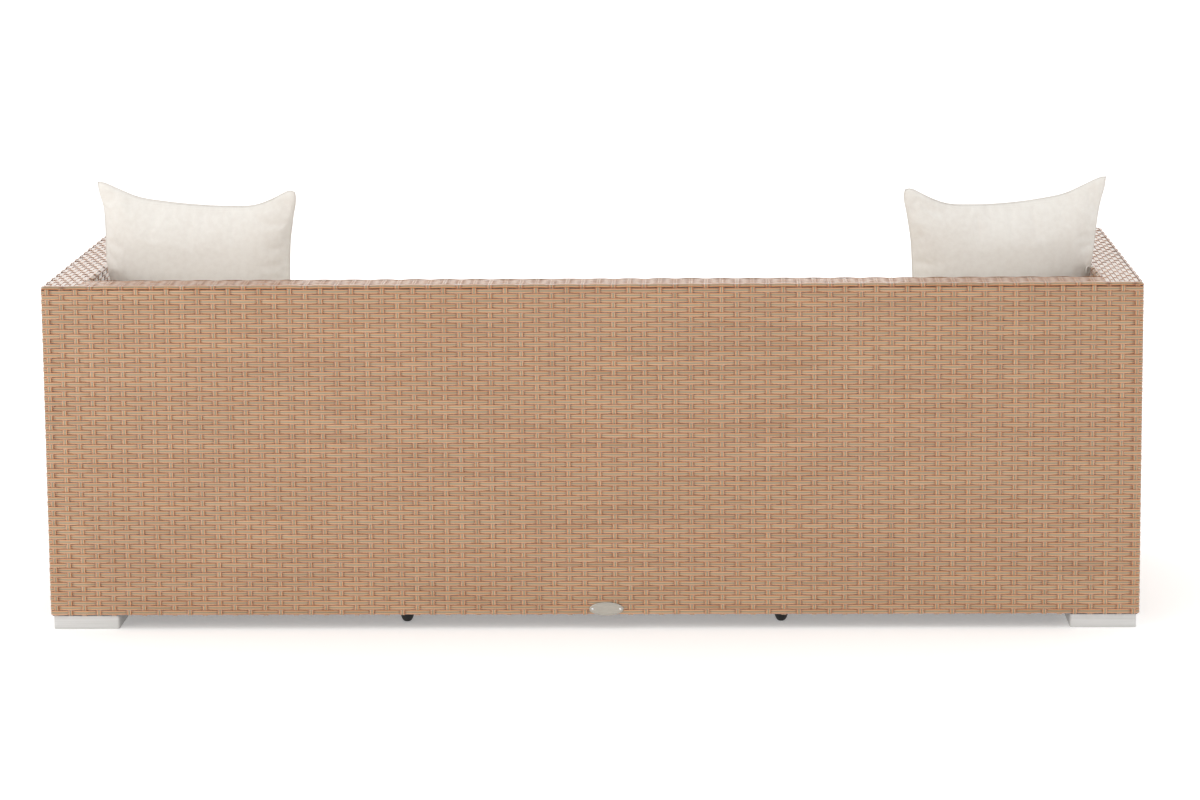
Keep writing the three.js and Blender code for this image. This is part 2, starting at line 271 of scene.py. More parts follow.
wall_rows, apron_rows, back_top_rows, arm_top_rows = 68, 29, 9, 7
back_warps, arm_warps, end_warps = 66, 27, 3
edge_radius, edge_run, hem_wrap = 5 * mm, 5.7 * mm, 2.2 * mm
first_row_z = hem_z + hem_wrap
row_pitch = (crest_z - edge_run - first_row_z) / wall_rows
deck_rows = int((inner_y - front_y - edge_run) / row_pitch)
print("rows:", wall_rows, "of", round(row_pitch / mm, 2), "mm; deck rows:", deck_rows)

# %% Guide lines
arc_steps = 4


def trace(marks, radius, closed=False):
    """A rounded line through marked corners: its points, outward directions, lengths and, for each
    mark, the length where the line passes it."""
    corners = [Vector(place) for place, _ in marks]
    points, outward, middles = [], [], []
    for i, corner in enumerate(corners):
        before = corners[i - 1] if closed or i > 0 else None
        after = corners[(i + 1) % len(corners)] if closed or i < len(corners) - 1 else None
        way_in = (corner - before).normalized() if before else (after - corner).normalized()
        way_out = (after - corner).normalized() if after else way_in
        out_in, out_after = Vector((way_in.y, -way_in.x)), Vector((way_out.y, -way_out.x))
        if abs(way_in.cross(way_out)) < 0.1:
            middles.append(len(points))
            points.append(corner)
            outward.append(out_in)
            continue
        middles.append(len(points) + arc_steps // 2)
        for step in range(arc_steps + 1):
            turn = math.pi / 2 * step / arc_steps
            back, ahead = math.sin(turn) - 1, 1 - math.cos(turn)
            points.append(corner + radius * (way_in * back + way_out * ahead))
            outward.append(out_in * math.cos(turn) + out_after * math.sin(turn))
    if closed:
        middles.append(len(points))
        points.append(points[0])
        outward.append(outward[0])
    places = np.array([point[:] for point in points])
    lengths = np.concatenate([[0], np.cumsum(np.linalg.norm(np.diff(places, axis=0), axis=1))])
    return places, np.array([way[:] for way in outward]), lengths, [lengths[i] for i in middles]


def guide(name, marks, to_space, steps, radius=edge_radius, closed_count=None):
    """A guide line as a mesh. Marks are corners in a plane, each with a crossing count or None, and
    to_space puts a flat point or direction in space. It has this many steps for each crossing."""
    closed = closed_count is not None
    places, outward, lengths, middles = trace(marks, radius, closed)
    counted = [(length, count) for length, (_, count) in zip(middles, marks) if count is not None]
    if closed:
        counted.append((middles[-1], closed_count))
    mark_lengths, mark_counts = zip(*counted)
    low, high = mark_counts[0], mark_counts[-1]
    wanted_counts = low + np.arange(round((high - low) * steps) + 1) / steps
    bends = lengths[np.linalg.norm(np.gradient(outward, axis=0), axis=1) > 0.05]
    wanted = np.sort(np.concatenate([np.interp(wanted_counts, mark_counts, mark_lengths), bends]))
    kept = wanted[np.concatenate([[True], np.diff(wanted) > mm])]
    if closed:
        kept = kept[kept < lengths[-1] - mm]
    at, out = (np.stack([np.interp(kept, lengths, line[:, i]) for i in (0, 1)], axis=1)
               for line in (places, outward))
    edges = [(i, i + 1) for i in range(len(kept) - 1)] + ([(len(kept) - 1, 0)] if closed else [])
    mesh = new_mesh(name + "_guide", [to_space(*point, 1) for point in at], edges)
    keep_values(mesh, "crossing", np.interp(kept, mark_lengths, mark_counts))
    keep_values(mesh, "outward", [to_space(*way, 0) for way in out], "FLOAT_VECTOR")
    return new_object(name + "_guide", mesh)


print("guide lines ready")

# %% [markdown]
# ## The weaving tree
# One Geometry Nodes tree makes all strands. It repeats a guide a number of times with a fixed step,
# numbers the copies, moves each point out or in by the cosine of its crossing count plus its own
# number, and sweeps the strand's section along. A little noise keeps the rows from being ruled lines.

# %% Section of a strand
strand_width = 9.45 * mm
# Across as a share of the half width, then height over the strand's middle in millimetres:
# two ridges, a hollow between them and thin edges
section_points = [(-1, 0.0), (-0.56, 0.95), (0, 0.25), (0.56, 0.95), (1, 0.0)]
section_mesh = new_mesh("strand_section",
                        [(height * mm, share * strand_width / 2, 0) for share, height in section_points],
                        [(i, (i + 1) % len(section_points)) for i in range(len(section_points))])
keep_values(section_mesh, "across", [share for share, _ in section_points])
strand_section = new_object("strand_section", section_mesh)
print("section of", len(section_points), "points")

# %% Starting, ending and running a tree
def new_tree(name, inputs):
    """An empty tree with named inputs, each with its kind and value. Gives the tree, a function that
    adds a node to it, and what the tree is given."""
    tree = bpy.data.node_groups.new(name, "GeometryNodeTree")
    for title, kind, value in inputs:
        socket = tree.interface.new_socket(title, in_out="INPUT", socket_type="NodeSocket" + kind)
        if value is not None:
            socket.default_value = value
    tree.interface.new_socket("Made", in_out="OUTPUT", socket_type="NodeSocketGeometry")
    add = partial(add_node, tree)
    return tree, add, add("NodeGroupInput").outputs


def end_tree(tree, add, swept, material):
    """The last nodes of a tree: its sweep made smooth, real and coloured."""
    smooth = add("GeometryNodeSetShadeSmooth", {0: swept})
    real = add("GeometryNodeRealizeInstances", {0: smooth})
    painted = add("GeometryNodeSetMaterial", {"Geometry": real, "Material": material})
    add("NodeGroupOutput", {0: painted})
    print("tree:", tree.name, "with", len(tree.nodes), "nodes")
    return tree


def run_tree(name, line, tree, inputs):
    """Runs a tree on a line, returns what it makes as a plain mesh object, and clears the line away."""
    modifier = line.modifiers.new(tree.name, "NODES")
    modifier.node_group = tree
    for item in tree.interface.items_tree:
        if item.in_out == "INPUT" and item.name in inputs:
            modifier[item.identifier] = inputs[item.name]
    mesh = bpy.data.meshes.new_from_object(line.evaluated_get(bpy.context.evaluated_depsgraph_get()))
    line.modifiers.remove(modifier)
    mesh.name = name
    made = new_object(name, mesh)
    bpy.data.objects.remove(line)
    return made


# %% The tree
def weaving_tree():
    """Builds the tree: guide in, woven strands out."""
    tree, add, given = new_tree("plain_weave", [
        ("Guide", "Geometry", None), ("Section", "Object", None), ("Count", "Int", 1),
        ("Step", "Vector", (0, 0, 0)), ("First number", "Int", 0), ("Wave", "Float", 0.001),
        ("Flatness", "Float", 0.0), ("Dip shade", "Float", 1.0), ("Width share", "Float", 1.0),
        ("Wobble", "Float", 0.0004), ("Seed", "Int", 0), ("Material", "Material", None)])
    line = add("GeometryNodeMeshLine", {"Count": given["Count"], "Offset": given["Step"]})
    path = add("GeometryNodeMeshToCurve", {0: given["Guide"]})
    strands = add("GeometryNodeInstanceOnPoints", {"Points": line, "Instance": path})
    index = add("GeometryNodeInputIndex")
    number = add("ShaderNodeMath", {0: index, 1: given["First number"]}, operation="ADD")
    drawn = add("FunctionNodeRandomValue", {"ID": index, "Seed": given["Seed"]}, data_type="FLOAT")
    for name, value in (("number", number), ("drawn", drawn)):
        strands = add("GeometryNodeStoreNamedAttribute", {"Geometry": strands, "Name": name, "Value": value},
                      domain="INSTANCE", data_type="FLOAT")
    strands = add("GeometryNodeRealizeInstances", {0: strands})
    own_number, crossing = (add("GeometryNodeInputNamedAttribute", {"Name": name},
                                data_type="FLOAT") for name in ("number", "crossing"))
    outward = add("GeometryNodeInputNamedAttribute", {"Name": "outward"}, data_type="FLOAT_VECTOR")
    turns = add("ShaderNodeMath", {0: own_number, 1: crossing}, operation="ADD")
    angle = add("ShaderNodeMath", {0: turns, 1: math.pi, 2: -math.pi / 2}, operation="MULTIPLY_ADD")
    wave = add("ShaderNodeMath", {0: angle}, operation="COSINE")
    # A flat float with a short dip is 1 - 2 s^2, where s is how far the cosine has fallen, from 0 to 1
    fallen = add("ShaderNodeMath", {0: wave, 1: -0.5, 2: 0.5}, operation="MULTIPLY_ADD")
    squared = add("ShaderNodeMath", {0: fallen, 1: 2.0}, operation="POWER")
    float_shape = add("ShaderNodeMath", {0: squared, 1: -2.0, 2: 1.0}, operation="MULTIPLY_ADD")
    shape = add("ShaderNodeMix", {"Factor": given["Flatness"], 2: wave, 3: float_shape})
    height = add("ShaderNodeMath", {0: shape, 1: given["Wave"]}, operation="MULTIPLY")
    over_under = add("ShaderNodeVectorMath", {0: outward, "Scale": height}, operation="SCALE")
    # Each strand reads its own slice of a noise whose waves are about 7 cm long
    place = add("GeometryNodeInputPosition")
    own_slice = add("ShaderNodeMath", {0: own_number, 1: 3.17}, operation="MULTIPLY")
    noise = add("ShaderNodeTexNoise", {"Vector": place, "W": own_slice, "Scale": 14, "Detail": 1},
                noise_dimensions="4D")
    centred = add("ShaderNodeVectorMath", {0: noise.outputs["Color"], 1: (0.5, 0.5, 0.5)},
                  operation="SUBTRACT")
    wobble = add("ShaderNodeVectorMath", {0: centred, "Scale": given["Wobble"]}, operation="SCALE")
    offset = add("ShaderNodeVectorMath", {0: over_under, 1: wobble}, operation="ADD")
    strands = add("GeometryNodeSetPosition", {"Geometry": strands, "Offset": offset})
    length = add("GeometryNodeSplineParameter").outputs["Length"]
    # How far a point has dipped, which sets the painted shade of the dips in the wicker's colour
    painted_dip_depth = add("ShaderNodeMath", {0: fallen, 1: given["Dip shade"]}, operation="MULTIPLY")
    for name, value in (("along", length), ("dip", painted_dip_depth)):
        strands = add("GeometryNodeStoreNamedAttribute", {"Geometry": strands, "Name": name, "Value": value},
                      data_type="FLOAT")
    faced = add("GeometryNodeSetCurveNormal", {"Curve": strands, "Normal": outward}, mode="FREE")
    section = add("GeometryNodeObjectInfo", {"Object": given["Section"]}).outputs["Geometry"]
    squeeze = add("ShaderNodeCombineXYZ", {"X": 1.0, "Y": given["Width share"], "Z": 1.0})
    sized = add("GeometryNodeTransform", {"Geometry": section, "Scale": squeeze})
    outline = add("GeometryNodeMeshToCurve", {0: sized})
    swept = add("GeometryNodeCurveToMesh", {"Curve": faced, "Profile Curve": outline, "Fill Caps": True})
    return end_tree(tree, add, swept, given["Material"])


plain_weave = weaving_tree()
woven = []


def weave(name, line, count, step, first, wave, width_share=1.0, flatness=0.6, dip_shade=0.94):
    """Weaves count strands along a guide, each a step from the one before."""
    made = run_tree(name, line, plain_weave, {
        "Section": strand_section, "Count": count, "Step": Vector(step), "First number": first,
        "Wave": wave, "Flatness": flatness, "Dip shade": dip_shade, "Width share": width_share,
        "Wobble": wobble_size, "Seed": first + 7, "Material": wicker})
    woven.append(made)
    print(name, len(made.data.polygons), "faces")


# How far strands swing out and in, and how far the noise moves them
weft_wave, edge_wave, top_wave, warp_wave = 0.95 * mm, 0.5 * mm, 0.55 * mm, -0.7 * mm
wobble_size = 0.9 * mm
# How strongly the painted shade darkens the dips on the back's top and on the arms' tops
back_top_dip_shade, arm_top_dip_shade = 1.25, 1.1
weft_steps, warp_steps, deck_steps = 4, 2, 2

# %% [markdown]
# ## Weft strands
# Below the seat a row is one ring round the whole sofa, with the apron as its front. Above the seat
# it is a longer ring that turns in at each arm's front end and runs along the inside of the well.
# Both count the same warps on the outer faces, so the pattern carries on from one to the other.

# %% Rings of weft
def plan(height):
    """Puts a flat point of the plan at a height."""
    return lambda x, y, is_place: (x, y, height * is_place)


def leaning_plan(height, lean):
    """A plan at a height whose outward directions lean up."""
    level, rise = math.cos(lean), math.sin(lean)
    return lambda x, y, is_place: (x, y, height) if is_place else (x * level, y * level, rise)


def ring_marks(inset, with_well):
    """Corners of a ring of weft, each with the warps counted so far, from the left end of the back."""
    x, y, well_side, well_back = rear_x - inset, rear_y - inset, side_x + inset, inner_y + inset
    front = front_y + inset
    marks = [((well_x, y), 3), ((-well_x, y), 69), ((-x, y), 72), ((-x, inner_low.y), 75),
             ((-x, front), 102)]
    if with_well:
        marks += [((-well_side, front), 105), ((-well_side, well_back), 132), ((well_side, well_back), 198),
                  ((well_side, front), 225), ((x, front), 228), ((x, inner_low.y), 255), ((x, y), 258)]
    else:
        marks += [((-well_x, front), 105), ((well_x, front), 171), ((x, front), 174),
                  ((x, inner_low.y), 201), ((x, y), 204)]
    return marks


def row_height(row):
    """The height of a row's middle."""
    return first_row_z + (row + 0.5) * row_pitch


def weft_rings(name, first, count, with_well, inset=0.0, to_space=None, wave=weft_wave):
    """Weaves rows of rings from the row first."""
    marks = ring_marks(inset, with_well)
    line = guide(name, marks, to_space or plan(row_height(first)), weft_steps,
                 closed_count=marks[-1][1] + end_warps)
    weave(name, line, count, (0, 0, row_pitch), first, wave)


for name, first, count in (("skirt_wefts_low", 0, 15), ("skirt_wefts_high", 15, 14),
                           ("wall_wefts_low", 30, 13), ("wall_wefts_middle", 43, 13),
                           ("wall_wefts_high", 56, 12)):
    weft_rings(name, first, count, first > apron_rows)

# %% [markdown]
# ## Weft on the edges and the tops
# One ring lies on the rounded top edge, leaning back. The row above the apron goes only round the
# outside. The tops have straight rows: along the back between the arms, and along each arm from
# the rear face to the front. In the picture the pale tops of the arms reach right to the rear edge,
# so it is the arms' rows that run through the corners.

# %% Edge ring and straight rows
edge_lean = math.radians(50)
weft_rings("edge_weft", wall_rows, 1, True, edge_radius * (1 - math.cos(edge_lean)),
           leaning_plan(crest_z - edge_radius * (1 - math.sin(edge_lean)), edge_lean), edge_wave)

collar_marks = [((well_x, front_y), 171), ((rear_x, front_y), 174), ((rear_x, inner_low.y), 201),
                ((rear_x, rear_y), 204), ((well_x, rear_y), 207), ((-well_x, rear_y), 273),
                ((-rear_x, rear_y), 276), ((-rear_x, inner_low.y), 279), ((-rear_x, front_y), 306),
                ((-well_x, front_y), 309)]
weave("collar_weft", guide("collar", collar_marks, plan(row_height(apron_rows)), weft_steps), 1,
      (0, 0, row_pitch), apron_rows, weft_wave)

back_top_pitch = (rear_y - inner_y - 2 * edge_run) / back_top_rows
row_reach = 9 * mm
row_end, extra = well_x + row_reach, row_reach / (rear_x - well_x) * 3
line = guide("back_top", [((row_end, crest_z), 3 - extra), ((-row_end, crest_z), 69 + extra)],
             lambda a, b, is_place: (a, (rear_y - edge_run - back_top_pitch / 2) * is_place, b), weft_steps)
weave("back_top_wefts", line, back_top_rows, (0, -back_top_pitch, 0), wall_rows + 1, top_wave,
      back_top_pitch / row_pitch, dip_shade=back_top_dip_shade)

arm_top_pitch = (rear_x - side_x - 2 * edge_run) / arm_top_rows
end_inset, end_drop, end_turn = 3.5 * mm, 9 * mm, 3 * mm
front_end, rear_end = front_y + end_inset, rear_y - end_inset
for side, name, counts in ((1, "left", (228, 255, 258)), (-1, "right", (102, 75, 72))):
    marks = [((front_end, crest_z - end_drop), None), ((front_end, crest_z), counts[0]),
             ((inner_low.y, crest_z), counts[1]), ((rear_end, crest_z), counts[2]),
             ((rear_end, crest_z - end_drop), None)]
    marks = [((-side * y, z), count) for (y, z), count in marks[::side]]
    first_x = side * (rear_x - edge_run - arm_top_pitch / 2)
    line = guide(name + "_arm_top", marks, lambda a, b, is_place: (first_x * is_place, -side * a, b),
                 weft_steps, end_turn)
    weave(name + "_arm_top_wefts", line, arm_top_rows, (-side * arm_top_pitch, 0, 0), wall_rows + 1,
          top_wave, arm_top_pitch / row_pitch, dip_shade=arm_top_dip_shade)

deck_row_inset = 5.4 * mm
line = guide("deck", [((well_x, seat_z), 105), ((-well_x, seat_z), 171)],
             lambda a, b, is_place: (-a, (front_y + deck_row_inset) * is_place, b), deck_steps)
weave("deck_wefts", line, deck_rows, (0, row_pitch, 0), apron_rows, weft_wave)

# %% [markdown]
# ## Warp strands
# A warp starts as a hook under the hem, climbs the face and crosses the top. Over the well it goes on
# down the inside to the deck. At the corners it ends at the edge, tucked under the rows of the top,
# and at the front it turns back over the seat as the deck's own warp.

# %% Courses of the warps
hook, hook_lift, hem_turn = 14 * mm, 1.1 * mm, 2.6 * mm
tuck = 2 * mm


def climb(face):
    """The first marks of every warp: the hook under the hem and the start of the face."""
    return [((face - hook, hem_z + hook_lift), -1.5), ((face, hem_z + hook_lift), None),
            ((face, first_row_z + row_pitch), 1)]


def over_top(face, inside, rows):
    """Marks over a wall's top: its outer edge, its rows and its inner edge."""
    return [((face, crest_z - edge_run), wall_rows), ((face, crest_z), None),
            ((face - edge_run, crest_z), wall_rows + 1), ((inside + edge_run, crest_z), wall_rows + 1 + rows)]


def down_inside(inside, rows):
    """Marks down the inner face, to just above the deck."""
    fall = crest_z - edge_run - deck_high.z
    return [((inside, crest_z), None), ((inside, crest_z - edge_run), wall_rows + 2 + rows),
            ((inside, deck_high.z), wall_rows + 2 + rows + fall / row_pitch)]


def to_the_edge(face):
    """Marks of a warp that ends under the rows of the top."""
    return climb(face) + [((face, crest_z - edge_run), wall_rows),
                          ((face, crest_z - edge_run / 2), wall_rows + 0.4)]


def along_x(sign):
    """For warps side by side along X on a face that looks along Y or against it."""
    return lambda start: lambda a, b, is_place: (start[0] * is_place, sign * a, b)


def along_y(sign):
    """For warps side by side along Y on a face that looks along X or against it."""
    return lambda start: lambda a, b, is_place: (sign * a, start[1] * is_place, b)


def warps(name, marks, to_space, count, corner, pitch, first, direction):
    """Weaves warps side by side. The first is half a pitch from the corner."""
    step = pitch * np.array(direction)
    line = guide(name, marks, to_space(np.array(corner) + step / 2), warp_steps, hem_turn)
    weave(name, line, count, step, first, warp_wave, flatness=0.0, dip_shade=0.0)


# %% Warps
back_pitch = 2 * well_x / back_warps
arm_pitch = (inner_low.y + outer_high.y) / arm_warps
corner_pitch_x = (edge_x - well_x) / end_warps
corner_pitch_y = (outer_high.y - inner_low.y) / end_warps
over_back = climb(rear_y) + over_top(rear_y, inner_y, back_top_rows) + down_inside(inner_y, back_top_rows)
over_arm = climb(rear_x) + over_top(rear_x, side_x, arm_top_rows)
into_well = over_arm + down_inside(side_x, arm_top_rows)
tucked = over_arm + [((well_x - tuck, crest_z), wall_rows + 2 + arm_top_rows)]
deck_run = inner_y - front_y - deck_row_inset
over_seat = climb(-front_y) + [
    ((-front_y, row_height(apron_rows - 1)), apron_rows - 0.5), ((-front_y, seat_z), None),
    ((-front_y - deck_row_inset, seat_z), apron_rows + 0.5),
    ((-inner_y, seat_z), apron_rows + 0.5 + deck_run / row_pitch)]
warps("back_warps", over_back, along_x(1), back_warps, (well_x, 0, 0), back_pitch, 3, (-1, 0, 0))
for side, name, (arm_first, corner_first, rear_first, front_first) in (
        (1, "left", (254, 257, 2, 225)), (-1, "right", (75, 72, 69, 104))):
    warps(name + "_arm_warps", into_well, along_y(side), arm_warps, (0, inner_low.y, 0), arm_pitch,
          arm_first, (0, -1, 0))
    warps(name + "_corner_warps", tucked, along_y(side), end_warps, (0, outer_high.y, 0), corner_pitch_y,
          corner_first, (0, -1, 0))
    warps("rear_" + name + "_warps", to_the_edge(rear_y), along_x(1), end_warps, (side * well_x, 0, 0),
          corner_pitch_x, rear_first, (side, 0, 0))
    warps("front_" + name + "_warps", to_the_edge(-front_y), along_x(-1), end_warps, (side * well_x, 0, 0),
          corner_pitch_x, front_first, (side, 0, 0))
warps("seat_warps", over_seat, along_x(-1), back_warps, (-well_x, 0, 0), back_pitch, 105, (1, 0, 0))

# %% [markdown]
# ## Finishing the weave
# A stretcher runs behind the back a quarter of the way up and pushes the strands out a little, which
# the picture shows as a faint line. The strands are also laid out side by side on a flat map, so
# that a bake of their colour keeps each strand's own streaks.

# %% Bulge over the stretcher, and the strands' map
stretcher_low, stretcher_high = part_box("back_stretcher")
bulge_z = (stretcher_low.z + stretcher_high.z) / 2
bulge_reach, bulge_fade = 840 * mm, 60 * mm
bulge_spread, bulge_height = 13 * mm, 1.1 * mm


def press_out(mesh):
    """Moves what lies over the stretcher outwards, most at its middle line and fading at its ends."""
    places = read_values(mesh.vertices, "co", 3).reshape(-1, 3)
    over = np.exp(-((places[:, 2] - bulge_z) / bulge_spread) ** 2)
    ends = np.clip((bulge_reach - np.abs(places[:, 0])) / bulge_fade, 0, 1)
    places[:, 1] += bulge_height * over * ends * (places[:, 1] > rear_y - 2 * core)
    mesh.vertices.foreach_set("co", places.ravel())


def lay_out(mesh):
    """Gives the mesh a map where each strand is a level ribbon, as long as the map is wide."""
    along, number = (read_values(mesh.attributes[name].data, "value") for name in ("along", "number"))
    corners = read_values(mesh.loops, "vertex_index", kind=np.int32)
    starts = read_values(mesh.polygons, "loop_start", kind=np.int32)
    sizes = np.diff(np.append(starts, len(corners)))
    face = np.repeat(np.arange(len(starts)), sizes)
    length = along[corners] / max(along.max(), mm)
    round_it = (corners % len(section_points)) / len(section_points)
    for values in (length, round_it):
        highest = np.maximum.reduceat(values, starts)
        wraps = (highest - np.minimum.reduceat(values, starts) > 0.5) & (sizes == 4)
        values += (wraps[face] & (values < 0.5)) * 1.0
    length = length / length.max()
    row = number[corners] - number.min()
    places = np.stack([length, (row + 0.05 + 0.9 * round_it) / (row.max() + 1)], axis=1)
    mesh.uv_layers.new(name="OFBake").uv.foreach_set("vector", places.astype(np.float32).ravel())


for piece in woven:
    press_out(piece.data)
    lay_out(piece.data)
bpy.data.objects.remove(strand_section)
print(len(woven), "woven pieces,", sum(len(piece.data.polygons) for piece in woven), "faces")

# %% [markdown]
# ## Which solids the strands stand for
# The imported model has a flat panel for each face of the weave. Each panel is replaced by a piece that
# covers it, and every woven piece rides on the frame.

# %% Panels replaced by strands
stands_for = {
    "skirt_wefts_low": ["back_outer_weave", "left_arm_outer_weave", "right_arm_outer_weave"],
    "skirt_wefts_high": ["front_apron_weave"],
    "wall_wefts_low": ["back_inner_weave", "left_arm_inner_weave", "right_arm_inner_weave"],
    "wall_wefts_middle": ["left_arm_front_weave", "right_arm_front_weave"],
    "back_top_wefts": ["back_top_weave"],
    "left_arm_top_wefts": ["left_arm_top_weave"],
    "right_arm_top_wefts": ["right_arm_top_weave"],
    "deck_wefts": ["seat_deck_weave"],
}
for piece in woven:
    dress(piece, "frame", "wicker", *stands_for.get(piece.name, []))
print("panels replaced:", sum(len(solids) for solids in stands_for.values()))

# %% [markdown]
# ## Frame tubes, feet, glides and plate
# The tubes keep their solids and get a finish. The corner feet and the glides are made again from
# their solids' boxes with the soft edges that moulded plastic has, and the plate gets its rim.

# %% Hard finishes
def grained(add, noise, stops, rough, stretch=(1, 1, 1), darker_below=0, relief=None):
    """Shader inputs of a hard finish. A noise, by scale and detail, shades and dulls it, and it grows
    darker below a height. Relief is a strength, a height and a finer noise, or else the same."""
    place = add("ShaderNodeTexCoord").outputs["Object"]
    spot = add("ShaderNodeMapping", {"Vector": place, "Scale": stretch})
    cloud = add("ShaderNodeTexNoise", {"Vector": spot, "Scale": noise[0], "Detail": noise[1]})
    shade = cloud
    # The colour grows darker below a height, towards the floor
    if darker_below:
        height = add("ShaderNodeSeparateXYZ", {0: place}).outputs["Z"]
        low_darkening = add("ShaderNodeMapRange", {"Value": height, "From Min": 0, "From Max": darker_below,
                                           "To Min": 0.25, "To Max": 0})
        shade = add("ShaderNodeMath", {0: cloud, 1: low_darkening}, operation="SUBTRACT")
    inputs = {"Base Color": add("ShaderNodeValToRGB", {"Fac": shade}, stops),
              "Roughness": add("ShaderNodeMapRange", {"Value": cloud, "To Min": rough[0],
                                                      "To Max": rough[1]})}
    if relief:
        strength, distance, *finer = relief
        fine = add("ShaderNodeTexNoise", {"Vector": place, "Scale": finer[0],
                                          "Detail": finer[1]}) if finer else cloud
        inputs["Normal"] = add("ShaderNodeBump", {"Height": fine, "Strength": strength,
                                                  "Distance": distance})
    return inputs


def powder_coat(add):
    """A baked powder coat: an even satin film whose orange peel has waves of about a millimetre."""
    return grained(add, (30, 3), [(0.3, "#6A594B"), (0.7, "#756354")], (0.42, 0.55),
                   relief=(0.2, 0.1 * mm, 900, 1))


def moulded_grain(add):
    """Pale grey plastic with a fine spark-eroded grain and faint level streaks where it flowed into the
    mould. It grows darker towards the floor."""
    stops = [(0.25, "#BCBBB8"), (0.45, "#C4C3C1"), (0.7, "#CBCAC9")]
    return {**grained(add, (1, 3), stops, (0.38, 0.5), (5, 5, 260), 8 * mm, (0.25, 0.08 * mm, 1400, 2)),
            "IOR": 1.49}


def scratched_black(add):
    """Black turned plastic, a little scratched and dulled where it slides."""
    return grained(add, (260, 4), [(0.35, "#171717"), (0.75, "#2A2928")], (0.3, 0.6))


def brushed(add):
    """Clear-lacquered metal with strokes 0.3 mm wide and 10 mm long, which pull the light across."""
    return {**grained(add, (1, 3), [(0.3, "#A29E96"), (0.7, "#B9B5AC")], (0.28, 0.45),
                      (100, 3000, 3000), relief=(0.3, 0.03 * mm)), "Metallic": 1}


def polished(add):
    """Bright plating with hairline scratches, so each pin holds a small sharp glint."""
    return {**grained(add, (2500, 2), [(0.3, "#E6E8EB"), (0.7, "#F4F6F9")], (0.08, 0.2)), "Metallic": 1}


tube_finish = new_material("powder_coated_aluminium", powder_coat)
foot_finish = new_material("moulded_polypropylene", moulded_grain)
glide_finish = new_material("black_polyethylene", scratched_black)
plate_finish = new_material("brushed_aluminium", brushed)
pin_finish = new_material("polished_nickel", polished)
print("five hard finishes")

# %% Tubes
tube_names = ("post", "rail", "stretcher", "bearer", "leg")
tubes = [node for name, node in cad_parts.items() if name.endswith(tube_names)]
for tube in tubes:
    tube.data.materials.clear()
    tube.data.materials.append(tube_finish)
print("tubes finished:", len(tubes))

# %% Feet and glides
def add_turned(shape, profile, steps, place):
    """Adds a ring of points for each pair of a profile's numbers, and faces between the rings and over
    open ends. Place puts a pair, with a turn's cosine and sine, in space."""
    turns = [2 * math.pi * k / steps for k in range(steps)]
    rings = []
    for pair in profile:
        points = dict.fromkeys(place(*pair, math.cos(turn), math.sin(turn)) for turn in turns)
        rings.append([shape.verts.new(point) for point in points])
    faces = []
    for under, over in zip(rings, rings[1:]):
        for k in range(steps):
            corners = [under[k % len(under)], under[(k + 1) % len(under)],
                       over[(k + 1) % len(over)], over[k % len(over)]]
            faces.append(shape.faces.new(list(dict.fromkeys(corners))))
    return faces + [shape.faces.new(ring) for ring in (rings[-1], rings[0]) if len(ring) > 1]


def smooth_object(name, shape, *finishes):
    """A smooth object of this shape with its finishes."""
    mesh = bpy.data.meshes.new(name)
    shape.to_mesh(mesh)
    shape.free()
    for finish in finishes:
        mesh.materials.append(finish)
    mesh.shade_smooth()
    return new_object(name, mesh)


def moulded_foot(node):
    """A foot's solid with its loose triangles merged and its edges rounded."""
    shape = bmesh.new()
    shape.from_mesh(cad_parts[node].data)
    bmesh.ops.remove_doubles(shape, verts=shape.verts, dist=0.01 * mm)
    bmesh.ops.dissolve_limit(shape, angle_limit=math.radians(1), verts=shape.verts, edges=shape.edges)
    foot = smooth_object(node + "_moulding", shape, foot_finish)
    bevel = foot.modifiers.new("soft_edges", "BEVEL")
    bevel.width, bevel.segments = 1.6 * mm, 3
    bevel.limit_method, bevel.angle_limit = "ANGLE", math.radians(40)
    bevel.harden_normals = True
    return foot


# Shares of the radius and of the height, from the flat spot on the floor to the thin rim
glide_profile = [(0, 0), (0.3, 0), (0.42, 0.02), (0.62, 0.1), (0.8, 0.26), (0.93, 0.48), (1, 0.75),
                 (1, 0.95), (0.97, 1), (0, 1)]
glide_steps = 48
glide_height = hem_z - 0.3 * mm


def turned_glide(node):
    """A domed glide, its profile turned about its middle."""
    low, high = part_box(node)
    centre, radius = (low + high) / 2, (high.x - low.x) / 2
    shape = bmesh.new()
    add_turned(shape, glide_profile, glide_steps, lambda share, rise, cosine, sine: (
        centre.x + share * radius * cosine, centre.y + share * radius * sine, rise * glide_height))
    return smooth_object(node + "_turned", shape, glide_finish)


for end in ("rear", "front"):
    for side in ("left", "right"):
        for kind, make in (("foot", moulded_foot), ("glide", turned_glide)):
            node = f"{end}_{side}_{kind}"
            dress(make(node), "frame", kind, node)
print("feet and glides made")

# %% Oval plate
# Distance in from the edge in millimetres, then height as a share of the thickness
rim_profile = [(0.0, 0.0), (0.0, 0.55), (0.25, 0.8), (1.1, 0.8), (1.5, 1.0), (2.1, 1.0), (2.5, 0.72),
               (6.0, 0.66), (9.5, 0.64)]
# Shares of the pin's radius and of the plate's thickness
pin_profile = [(1.0, 0.6), (1.0, 0.85), (0.75, 1.0)]
pin_radius, pin_inset = 1.7 * mm, 6.2 * mm
rim_steps, pin_steps = 72, 16


